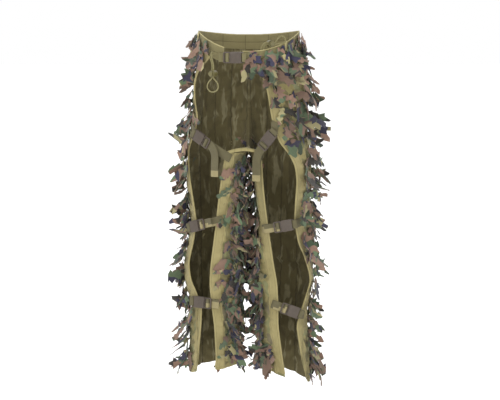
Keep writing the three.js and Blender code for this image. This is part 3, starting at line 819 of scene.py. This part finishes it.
def leaf(point, normal, down, across, length, lean, lift):
    """One leaf's two layers of points and its print coordinates. lean is its angle from straight down."""
    heading = down * math.cos(lean) + across * math.sin(lean)
    sideways = np.cross(normal, heading)
    sides = [np.array(LEAF_EDGES[rng.integers(len(LEAF_EDGES))]) for _ in range(2)]
    width = length * rng.uniform(0.42, 0.82)
    curl = rng.uniform(-1.3, 0.9)
    cup = rng.uniform(-7, 9)
    twist = rng.uniform(-0.8, 0.8)
    bow = rng.uniform(-0.3, 0.3)
    rise = lift + curl * STATIONS**1.5
    step = length / (len(STATIONS) - 1)
    along = np.concatenate([[0], np.cumsum(np.cos(rise[:-1]) * step)])
    out = np.concatenate([[0], np.cumsum(np.sin(rise[:-1]) * step)])
    rib = point + np.outer(along, heading) + np.outer(out, normal)
    rib = rib + np.outer(bow * length * STATIONS**2, sideways)
    up = np.outer(np.cos(rise), normal) - np.outer(np.sin(rise), heading)
    turn = twist * STATIONS
    side = np.cos(turn)[:, None] * sideways + np.sin(turn)[:, None] * up
    ahead = np.outer(np.cos(rise), heading) + np.outer(np.sin(rise), normal)
    layers = []
    shifts = np.where(np.arange(len(STATIONS)) % 2 == 1, 0.5, -0.25) * step
    shifts[0] = shifts[-1] = 0
    for edge in LEAF_ACROSS:
        widths = sides[0] if edge < 0 else sides[1]
        reach_out = widths * width * edge * rng.uniform(0.85, 1.15, len(STATIONS)) * 0.5
        bend = cup * reach_out**2
        forward = shifts * abs(edge)
        layers.append(rib + side * reach_out[:, None] + up * bend[:, None] + ahead * forward[:, None])
    surface = np.stack(layers, axis=1)
    sunk = np.maximum(0, LEAF_CLEARANCE - (surface - point) @ normal)
    surface = surface + sunk[..., None] * normal
    base = rng.uniform(-40, 40, 2)
    turn = rng.uniform(0, math.tau)
    across_print = np.outer((sides[0] + sides[1]) * width * 0.25, LEAF_ACROSS)
    along_print = np.repeat((STATIONS * length)[:, None], len(LEAF_ACROSS), axis=1)
    u = across_print * math.cos(turn) - along_print * math.sin(turn) + base[0]
    v = across_print * math.sin(turn) + along_print * math.cos(turn) + base[1]
    above = np.where(sunk[..., None] > 0, normal, np.repeat(up[:, None], len(LEAF_ACROSS), axis=1))
    return surface, surface + above * LEAF_THICKNESS, np.stack([u, v], axis=-1)


LEAF_FACES = np.concatenate(closed_faces(len(STATIONS), len(LEAF_ACROSS)))
BOX_SLACK = 0.009
spare = BOX_SLACK + 0.03 * (cad_high - cad_low)


def leaves_mesh(name, leaves):
    points, faces, prints = [], [], []
    count = 0
    for inner, outer, uv in leaves:
        points += [inner.reshape(-1, 3), outer.reshape(-1, 3)]
        prints += [uv.reshape(-1, 2), uv.reshape(-1, 2)]
        faces.append(LEAF_FACES + count)
        count += inner.size // 3 * 2
    points = np.clip(np.concatenate(points), cad_low - spare, cad_high + spare)
    faces = np.concatenate(faces)
    mesh = bpy.data.meshes.new(name)
    mesh.from_pydata(points.tolist(), [], faces.tolist())
    mesh.materials.append(MATERIAL["leaf"])
    write_uv(mesh, "print", np.concatenate(prints))
    bm = bmesh.new()
    bm.from_mesh(mesh)
    bmesh.ops.recalc_face_normals(bm, faces=bm.faces)
    bm.to_mesh(mesh)
    bm.free()
    smooth(mesh, 55)
    return mesh


LEAF_STEP = 0.027


def kept_outside(panel, leaves):
    """The same leaves, with every point that sinks into the panel's cloth lifted clear of it."""
    rows, columns = panel.grid.shape[:2]
    quads = grid_quads(rows, columns)
    tree = BVHTree.FromPolygons(panel.grid.reshape(-1, 3).tolist(), quads.tolist())
    for lower, upper, _ in leaves:
        for i, j in np.ndindex(lower.shape[:2]):
            place, _, face, _ = tree.find_nearest(lower[i, j], LEAF_SEARCH)
            if place is None:
                continue
            normal = panel.normals[divmod(face, columns - 1)]
            lift = CLOTH_THICKNESS + LEAF_CLEARANCE - float(np.dot(lower[i, j] - place, normal))
            if lift > 0:
                lower[i, j] += normal * lift
                upper[i, j] = lower[i, j] + normal * LEAF_THICKNESS
    return leaves


def kept_under(panel, leaves):
    """The same leaves, with every point that rises past the panel's top edge brought below it."""
    top = panel.grid[0][np.argsort(panel.grid[0][:, 1])]
    for lower, upper, _ in leaves:
        limit = np.interp(lower[..., 1], top[:, 1], top[:, 2]) - LEAF_CLEARANCE
        excess = np.maximum(0, lower[..., 2] - limit)
        lower[..., 2] -= excess
        upper[..., 2] -= excess
    return leaves


def kept_behind(panel, leaves, crotch):
    """The same leaves, with every point near the seat's seam, above the crotch, kept behind the seat."""
    seam = panel.grid[::-1, -1]
    for lower, upper, _ in leaves:
        seat = np.interp(lower[..., 2], seam[:, 2], seam[:, 1]) + SEAT_CLEARANCE
        near = (lower[..., 2] > crotch) & (np.abs(lower[..., 0]) < SEAT_WIDTH)
        shift = np.where(near, np.maximum(0, seat - lower[..., 1]), 0)
        lower[..., 1] += shift
        upper[..., 1] += shift
    return leaves


def grow_leaves(
    panel, lines, bare=BARE_EDGE, last_edge=0.018, sizes=(0.044, 0.080), lifts=(0.1, 0.95), step=LEAF_STEP
):
    """Leaves along stitch lines given as distances across, on both sides of each line."""
    rows = len(panel.grid)
    lowest = panel.grid[..., 2]
    leaves = []
    for line in lines:
        z = lowest[0].max() - rng.uniform(0, step)
        for i in range(rows - 2):
            arc = np.interp(line, panel.across[i], panel.arcs[i], left=-1, right=-1)
            if arc < bare or arc > panel.arcs[i, -1] - last_edge:
                continue
            here = np.interp(arc, panel.arcs[i], lowest[i])
            if here > z:
                continue
            z = here - step * rng.uniform(0.75, 1.25)
            for turn in (-1, 1):
                point, normal, down = panel.at(i, arc + rng.uniform(-0.006, 0.006))
                across = np.cross(normal, down) * turn
                start = point + normal * (CLOTH_THICKNESS + rng.uniform(0.0015, 0.006))
                lean = rng.uniform(0.05, 1.25)
                lift = rng.uniform(*lifts)
                leaves.append(leaf(start, normal, down, across, rng.uniform(*sizes), lean, lift))
    return kept_outside(panel, leaves)


INNER_PITCH = 0.026
INNER_BARE = 0.034
INNER_STEP = 0.021


def split_lines(low, high, pitch=STITCH_PITCH):
    """Distances across of the stitch lines from low to high."""
    return [k * pitch for k in range(math.ceil(low / pitch), math.floor(high / pitch) + 1)]


# ---------------------------------------------------------------- waistband
BAND_ROWS = 18
BAND_THICKNESS = 0.0026


def add_band(node, name, low_angle, high_angle):
    """A stitched band of the ring, its angles counted from +X towards the back."""
    tree = cad_tree(node)
    high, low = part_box(node)[1].z + 0.005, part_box(node)[0].z - 0.005
    count = int(abs(high_angle - low_angle) / 1.5)
    tops, bottoms, radii, angles = [], [], [], []
    for angle in np.radians(np.linspace(low_angle, high_angle, count)):
        heading = Vector((math.cos(angle), math.sin(angle), 0))
        hits = []
        for z in np.arange(high, low, -0.001):
            place = tree.ray_cast(Vector((0, 0, z)), heading)[0]
            if place is not None:
                hits.append((z, place.xy.length))
        if hits:
            angles.append(angle)
            tops.append(hits[0][0])
            bottoms.append(hits[-1][0])
            radii.append(hits[len(hits) // 2][1])
    angles, tops, bottoms, radii = (np.array(v) for v in (angles, tops, bottoms, radii))
    kernel = np.ones(5) / 5
    for values in (tops, bottoms, radii):
        values[2:-2] = np.convolve(values, kernel, "valid")
    grid = np.zeros((BAND_ROWS, len(angles), 3))
    steps = np.hypot(np.diff(radii * np.cos(angles)), np.diff(radii * np.sin(angles)))
    around = np.concatenate([[0], np.cumsum(steps)])
    swell = np.zeros((BAND_ROWS, len(angles)))
    for i, share in enumerate(np.linspace(0, 1, BAND_ROWS)):
        z = tops * (1 - share) + bottoms * share
        channel = math.exp(-(((share - 0.52) / 0.05) ** 2)) + math.exp(-(((share - 0.06) / 0.04) ** 2))
        seams = np.exp(-((((around / BAND_SEAM + 0.5) % 1 - 0.5) * BAND_SEAM / 0.0022) ** 2))
        gather = [noise.noise(Vector((s * 70, share * 3, 5))) for s in around]
        swell[i] = 0.0011 * channel + 0.0010 * seams + 0.0012 * np.array(gather)
        grid[i] = np.stack([radii * np.cos(angles), radii * np.sin(angles), z], axis=1)
    outward = grid.copy()
    outward[..., 2] = 0
    normals = grid_normals(grid, outward)
    inner = grid + normals * (swell + 0.0002)[..., None]
    outer = grid + normals * (BAND_THICKNESS - swell * 0.6)[..., None]
    height = np.repeat(np.linspace(BAND_HEIGHT, 0, BAND_ROWS)[:, None], len(angles), axis=1)
    uv = np.stack([np.repeat(around[None], BAND_ROWS, axis=0), height], axis=-1)
    materials = [MATERIAL["band_inside"], MATERIAL["band_outside"], MATERIAL["band_outside"]]
    mesh = sheet_mesh(name, inner, outer, uv, materials)
    new_object(name, mesh, replaces=[node])
    return outer, normals


def band_leaves(band, shares, low, high, gap):
    """Leaves that hang from the band's outside at shares of its height, where x is from low to high."""
    outer, normals = band
    leaves = []
    for share in shares:
        row = int(share * (BAND_ROWS - 1))
        travelled = 0.0
        wanted = rng.uniform(0, gap)
        for k in range(1, outer.shape[1] - 1):
            travelled += float(np.linalg.norm(outer[row, k] - outer[row, k - 1]))
            if travelled < wanted or not low < outer[row, k, 0] < high:
                continue
            wanted = travelled + gap * rng.uniform(0.7, 1.3)
            normal = normals[row, k]
            down = np.array([0.0, 0.0, -1.0])
            across = np.cross(normal, down) * rng.choice([-1, 1])
            start = outer[row, k] + normal * rng.uniform(0.0015, 0.005)
            length, lean, lift = (rng.uniform(*span) for span in ((0.045, 0.075), (0, 0.9), (0.05, 0.6)))
            leaves.append(leaf(start, normal, down, across, length, lean, lift))
    return leaves


back_band = add_band("waistband_back", "waistband_back_cloth", -1, 181)
left_band = add_band("waistband_front_left", "waistband_left_cloth", -100, 1)
right_band = add_band("waistband_front_right", "waistband_right_cloth", 179, 244)
on_band = {LEFT: band_leaves(left_band, (0.15, 0.55, 0.9), -0.004, 0.2, 0.021)}
on_band[LEFT] += band_leaves(back_band, (0.25, 0.8), 0.0, 0.2, 0.03)
on_band[RIGHT] = band_leaves(right_band, (0.25, 0.7), -0.2, -0.118, 0.020)
on_band[RIGHT] += band_leaves(back_band, (0.25, 0.8), -0.2, 0.0, 0.03)


# ---------------------------------------------------------------- the legs
# Distances across the outer panel: its seam, and where its three groups of stitch lines meet.
SIDE_SEAM = -0.055
SIDE_LINES_END = -0.03
SEAT_LINES_START = 0.09


def build_side(side):
    label = LABEL[side]
    outer, inner = panels[side]
    columns = outer.grid.shape[1]
    seam = int(np.median([np.interp(SIDE_SEAM, row, np.arange(columns)) for row in outer.across]))
    side_cloth = add_cloth(outer, f"side_cloth_{label}", slice(0, seam + 1), f"side_panel_{label}")
    back_cloth = add_cloth(outer, f"back_cloth_{label}", slice(seam, columns), f"back_panel_{label}")
    inner_cloth = add_cloth(inner, f"inner_cloth_{label}", slice(None), f"inner_leg_panel_{label}")
    outer_tape = add_edge_tape(outer, f"outer_tape_{label}", True, f"outer_edge_tape_{label}")
    inner_tape = add_edge_tape(inner, f"inner_tape_{label}", False, f"inner_edge_tape_{label}")
    inner_lines = split_lines(0.001, inner.across.max(), INNER_PITCH)
    inner_leaves = grow_leaves(inner, inner_lines, 0.004, INNER_BARE, (0.038, 0.062), (0.05, 0.6), INNER_STEP)
    inner_leaves = kept_under(inner, inner_leaves)
    side_leaves = grow_leaves(outer, split_lines(outer.across.min(), SIDE_LINES_END))
    seat_leaves = grow_leaves(outer, split_lines(SEAT_LINES_START, outer.across.max()))
    seat_leaves = kept_behind(outer, seat_leaves, inner.grid[0, :, 2].min())
    back_lines = split_lines(SIDE_LINES_END, SEAT_LINES_START)
    groups = (
        ("leaves_side", on_band[side] + side_leaves, "garnish_side", side_cloth),
        ("leaves_back_outer", grow_leaves(outer, back_lines), "garnish_back_outer", back_cloth),
        ("leaves_back_inner", seat_leaves, "garnish_back_inner", back_cloth),
        ("leaves_inner", inner_leaves, "garnish_inner", inner_cloth),
    )
    riding = {side_cloth: [outer_tape], back_cloth: [], inner_cloth: [inner_tape]}
    for name, leaves, node, cloth in groups:
        mesh = leaves_mesh(name, leaves)
        piece = new_object(f"{name}_{label}", mesh, replaces=[f"{node}_{label}"])
        riding[cloth].append(piece)
    for cloth, held, grid in (
        (side_cloth, "stretched", outer.grid[:, : seam + 1]),
        (back_cloth, "hung", outer.grid[:, seam:]),
        (inner_cloth, "hung", inner.grid),
    ):
        length = round(longest(grid.transpose(1, 0, 2)), 3)


for side in (RIGHT, LEFT):
    build_side(side)


GUSSET_ROWS = 22
GUSSET_COLUMNS = 26
GUSSET_REACH = 0.93
GUSSET_ARCH = 0.012
GUSSET_LIP = 0.008


def add_gusset():
    """A strip of cloth that arches over the crotch between the legs, its front edge rolled down."""
    edges = {}
    for side in (RIGHT, LEFT):
        top = panels[side][1].grid[0]
        edges[side] = resample(top[::-1][: int(len(top) * GUSSET_REACH)], GUSSET_ROWS)
    grid = np.zeros((GUSSET_ROWS + 3, GUSSET_COLUMNS, 3))
    for j, share in enumerate(np.linspace(0, 1, GUSSET_COLUMNS)):
        line = edges[RIGHT] * (1 - share) + edges[LEFT] * share
        line[:, 2] += 0.002 + GUSSET_ARCH * math.sin(math.pi * share) ** 0.8
        grid[3:, j] = line
        for i, (drop, forward) in enumerate(((1.0, 0.0026), (0.6, 0.0034), (0.2, 0.0024))):
            grid[i, j] = line[0] + np.array([0, -forward, -GUSSET_LIP * drop])
    up = np.zeros_like(grid)
    up[..., 2] = 1
    up[:3, :, 1] = -1
    normals = grid_normals(grid, up)
    uv = np.stack([grid[..., 0], level_arc(grid.transpose(1, 0, 2)).T], axis=-1)
    mesh = sheet_mesh("gusset_cloth", grid, grid + normals * CLOTH_THICKNESS, uv, [MATERIAL["tape"]] * 3)
    return new_object("gusset_cloth", mesh, replaces=["crotch_gusset"])


add_gusset()


# ---------------------------------------------------------------- straps, buckles and cord locks
def refined(node, name, material, slot, body, levels=2, bevel=0.0, crease_angle=60):
    """A finer copy of a CAD node: its flat faces joined, its edges rounded, its bends smoothed."""
    bm = bmesh.new()
    bm.from_mesh(frame["nodes"][node].data)
    bmesh.ops.remove_doubles(bm, verts=bm.verts, dist=1e-5)
    bmesh.ops.recalc_face_normals(bm, faces=bm.faces)
    if bevel:
        bmesh.ops.dissolve_limit(bm, angle_limit=math.radians(1), verts=bm.verts, edges=bm.edges)
    else:
        flat, shape = math.radians(25), math.radians(179)
        bmesh.ops.join_triangles(bm, faces=bm.faces, angle_face_threshold=flat, angle_shape_threshold=shape)
        crease = bm.edges.layers.float.new("crease_edge")
        for edge in bm.edges:
            if len(edge.link_faces) == 2 and edge.calc_face_angle() > math.radians(crease_angle):
                edge[crease] = 0.9
    mesh = bpy.data.meshes.new(name)
    bm.to_mesh(mesh)
    bm.free()
    piece = linked(name, mesh)
    if bevel:
        modifier = piece.modifiers.new("round", "BEVEL")
        modifier.width = bevel
        modifier.segments = 2
        modifier.limit_method = "ANGLE"
        modifier.angle_limit = math.radians(32)
        modifier.use_clamp_overlap = True
    else:
        modifier = piece.modifiers.new("fine", "SUBSURF")
        modifier.levels = modifier.render_levels = levels
    graph = bpy.context.evaluated_depsgraph_get()
    final = bpy.data.meshes.new_from_object(piece.evaluated_get(graph), depsgraph=graph)
    piece.modifiers.clear()
    piece.data = final
    final.materials.clear()
    final.materials.append(material)
    smooth(final, 38)
    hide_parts(node)
    if body:
        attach(piece, body)
    return piece


def strap_uv(piece, x_axis, y_axis):
    """A UV map in metres along and across a strap."""
    mesh = piece.data
    layer = mesh.uv_layers.get("cloth") or mesh.uv_layers.new(name="cloth")
    for corner in mesh.loops:
        place = mesh.vertices[corner.vertex_index].co
        layer.data[corner.index].uv = (place.dot(x_axis), place.dot(y_axis))


TAB_LENGTH = 0.017


def add_tab(piece):
    """Gives the end of a hanging tail the paler webbing of its folded and sewn tab."""
    mesh = piece.data
    mesh.materials.append(MATERIAL["tab"])
    lowest = min(v.co.z for v in mesh.vertices)
    for face in mesh.polygons:
        if face.center.z < lowest + TAB_LENGTH:
            face.material_index = 1


JOINTS = {joint["child"]: joint for joint in frame["joints"]}


def buckle_axes(name):
    """Along the strap towards the female half, across it, and out of the leg."""
    along = -Vector(JOINTS[f"male_{name}"]["axis"]).normalized()
    out = along.cross(Vector((0, 0, 1))).normalized()
    if out.y > 0:
        out.negate()
    return along, out.cross(along).normalized(), out


for body in [b for b in frame["bodies"] if b.startswith("male_")]:
    name = body[len("male_") :]
    along, across, out = buckle_axes(name)
    plastic = (MATERIAL["buckle"], "buckle_plastic")
    refined(f"buckle_female_{name}", f"female_{name}", *plastic, "garment", bevel=0.0006)
    refined(f"buckle_male_{name}", f"male_half_{name}", *plastic, body, bevel=0.0005)
    web = MATERIAL["belt" if name == "waist" else "web"]
    fixed = refined(f"web_fixed_{name}", f"strap_fixed_{name}", web, "webbing", "garment")
    strap_uv(fixed, along, across)
    loose = refined(f"web_adjust_{name}", f"strap_adjust_{name}", web, "webbing", None)
    strap_uv(loose, along, across)
    if name != "waist":
        add_tab(loose)
    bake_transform(loose)

for label in ("right", "left"):
    lock_body = "cord_lock_right" if label == "right" else "garment"
    button = f"lock_button_{label}"
    plastic = (MATERIAL["lock"], "lock_plastic")
    steel = (MATERIAL["steel"], "spring_steel")
    refined(f"cord_lock_{label}", f"lock_{label}", *plastic, lock_body, bevel=0.0008)
    refined(f"cord_lock_button_{label}", f"lock_plunger_{label}", *plastic, button, bevel=0.0006)
    spring = refined(f"cord_lock_spring_{label}", f"lock_spring_{label}", *steel, None, levels=1)
    inward = Vector(JOINTS[button]["axis"]).normalized()
    points = [spring.matrix_world @ v.co for v in spring.data.vertices]
    middle = sum(points, Vector()) / len(points)
    middle -= inward * middle.dot(inward)
    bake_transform(spring)

for node, name in (("belt_loop_right", "belt_loop_tape"), ("tape_tab_left", "tape_tab")):
    piece = refined(node, name, MATERIAL["loop"], "edge_tape", "garment")
    strap_uv(piece, Vector((1, 0, 0)), Vector((0, 0.6, 0.8)))


# ---------------------------------------------------------------- drawcords
CORD_DIAMETER = 0.004
STRAND = 0.0024
LOCK_MIDDLE = 0.00325
# Each route is in its lock's own frame: rightward, outward, upward.
ROUTES = {
    "right": [
        (-0.006, -0.013, 0.062), (-0.006, -0.006, 0.0615), (-0.0052, -0.0005, 0.057),
        (-0.0022, 0.0024, 0.046), (0.0012, 0.0016, 0.034), (STRAND, 0, 0.026), (STRAND, 0, 0),
        (STRAND, 0, -0.012), (0.009, 0, -0.019), (0.016, 0, -0.028), (0.018, 0, -0.038),
        (0.012, 0, -0.048), (0, 0, -0.052), (-0.012, 0, -0.048), (-0.018, 0, -0.038),
        (-0.016, 0, -0.028), (-0.009, 0, -0.019), (-STRAND, 0, -0.012), (-STRAND, 0, 0),
        (-STRAND, 0, 0.026), (-0.0042, 0.0012, 0.036), (-0.008, 0.0012, 0.046),
        (-0.0088, -0.003, 0.0515), (-0.0068, -0.013, 0.054),
    ],
    "left": [
        (-0.027, -0.006, -0.026), (-0.026, -0.0064, -0.014), (-0.022, -0.004, -0.003),
        (-0.016, -0.001, STRAND), (0, 0, STRAND), (0.012, 0, STRAND), (0.017, 0, 0.007),
        (0.024, 0, 0.017), (0.034, 0, 0.021), (0.043, 0, 0.015), (0.044, 0, 0.006),
        (0.036, 0, 0.001), (0.022, 0, -0.001), (0.012, 0, -STRAND), (0, 0, -STRAND),
        (-0.012, -0.001, -STRAND), (-0.018, -0.005, -0.008), (-0.020, -0.0064, -0.016),
        (-0.020, -0.006, -0.026),
    ],
}


def cord_points(label):
    out = -Vector(JOINTS[f"lock_button_{label}"]["axis"]).normalized()
    rightward = -out.cross(Vector((0, 0, 1))).normalized()
    corners = [v.co for v in frame["nodes"][f"cord_lock_{label}"].data.vertices]
    up = Vector((0, 0, 1))
    origin = out * LOCK_MIDDLE
    for axis in (rightward, out, up):
        depths = [corner.dot(axis) for corner in corners]
        origin += axis * (min(depths) + max(depths)) / 2
    return [origin + rightward * x + out * y + up * z for x, y, z in ROUTES[label]]


def centripetal(points, per_span=6):
    """A smooth curve through points."""
    padded = [points[0] * 2 - points[1]] + points + [points[-1] * 2 - points[-2]]
    fine = []
    for i in range(1, len(padded) - 2):
        p0, p1, p2, p3 = padded[i - 1 : i + 3]
        t1 = (p1 - p0).length ** 0.5
        t2 = t1 + (p2 - p1).length ** 0.5
        t3 = t2 + (p3 - p2).length ** 0.5
        for k in range(per_span):
            t = t1 + (t2 - t1) * k / per_span
            a1 = p0 * ((t1 - t) / t1) + p1 * (t / t1)
            a2 = p1 * ((t2 - t) / (t2 - t1)) + p2 * ((t - t1) / (t2 - t1))
            a3 = p2 * ((t3 - t) / (t3 - t2)) + p3 * ((t - t2) / (t3 - t2))
            b1 = a1 * ((t2 - t) / t2) + a2 * (t / t2)
            b2 = a2 * ((t3 - t) / (t3 - t1)) + a3 * ((t - t1) / (t3 - t1))
            fine.append(b1 * ((t2 - t) / (t2 - t1)) + b2 * ((t - t1) / (t2 - t1)))
    return fine + [points[-1]]


def add_cord(label):
    points = centripetal(cord_points(label))
    curve = bpy.data.curves.new(f"cord_{label}", "CURVE")
    curve.dimensions = "3D"
    curve.bevel_depth = CORD_DIAMETER / 2
    curve.bevel_resolution = 4
    curve.use_fill_caps = True
    spline = curve.splines.new("POLY")
    spline.points.add(len(points) - 1)
    for target, point in zip(spline.points, points):
        target.co = (*point, 1)
    spline.use_smooth = True
    curve.materials.append(MATERIAL["cord"])
    piece = new_object(f"cord_{label}", curve, replaces=[f"drawcord_{label}"])


for label in ("right", "left"):
    add_cord(label)


# ---------------------------------------------------------------- floor and light
FLOOR_DROP = 0.12
FLOOR_REACH = 60
FLOOR_GLOW = 0.3


def add_floor():
    """A pale flat floor, wide enough that its far edge is lost in the white surroundings."""
    z = cad_low[2] - FLOOR_DROP
    mesh = bpy.data.meshes.new("floor")
    corners = [(x * FLOOR_REACH, y * FLOOR_REACH, z) for x, y in ((-1, -1), (1, -1), (1, 1), (-1, 1))]
    mesh.from_pydata(corners, [], [(0, 1, 2, 3)])
    s = Shader("floor", 0.9)
    s.colour((0.95, 0.95, 0.95, 1))
    s.principled.inputs["Emission Color"].default_value = (1, 1, 1, 1)
    s.principled.inputs["Emission Strength"].default_value = FLOOR_GLOW
    mesh.materials.append(s.material)
    linked("floor", mesh)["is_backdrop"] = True


def add_light(name, place, size, power):
    data = bpy.data.lights.new(name, "AREA")
    data.size = size
    data.energy = power
    lamp = linked(name, data)
    lamp.location = place
    lamp.rotation_euler = (AIM - Vector(place)).to_track_quat("-Z", "Y").to_euler()


add_floor()
add_light("key", (-2.2, -3.4, 1.9), 1.5, 46)
add_light("fill", (2.8, -3.0, 0.6), 2.2, 10)
add_light("front", (0.2, -4.6, -0.5), 2.5, 22)
add_light("rear", (1.2, 3.6, 2.2), 2.5, 40)
world = bpy.data.worlds.new("world")
world.use_nodes = True
background = world.node_tree.nodes["Background"].inputs
background["Color"].default_value = (1, 1, 1, 1)
background["Strength"].default_value = 1.0
bpy.context.scene.world = world
bpy.context.scene.view_settings.view_transform = "Standard"
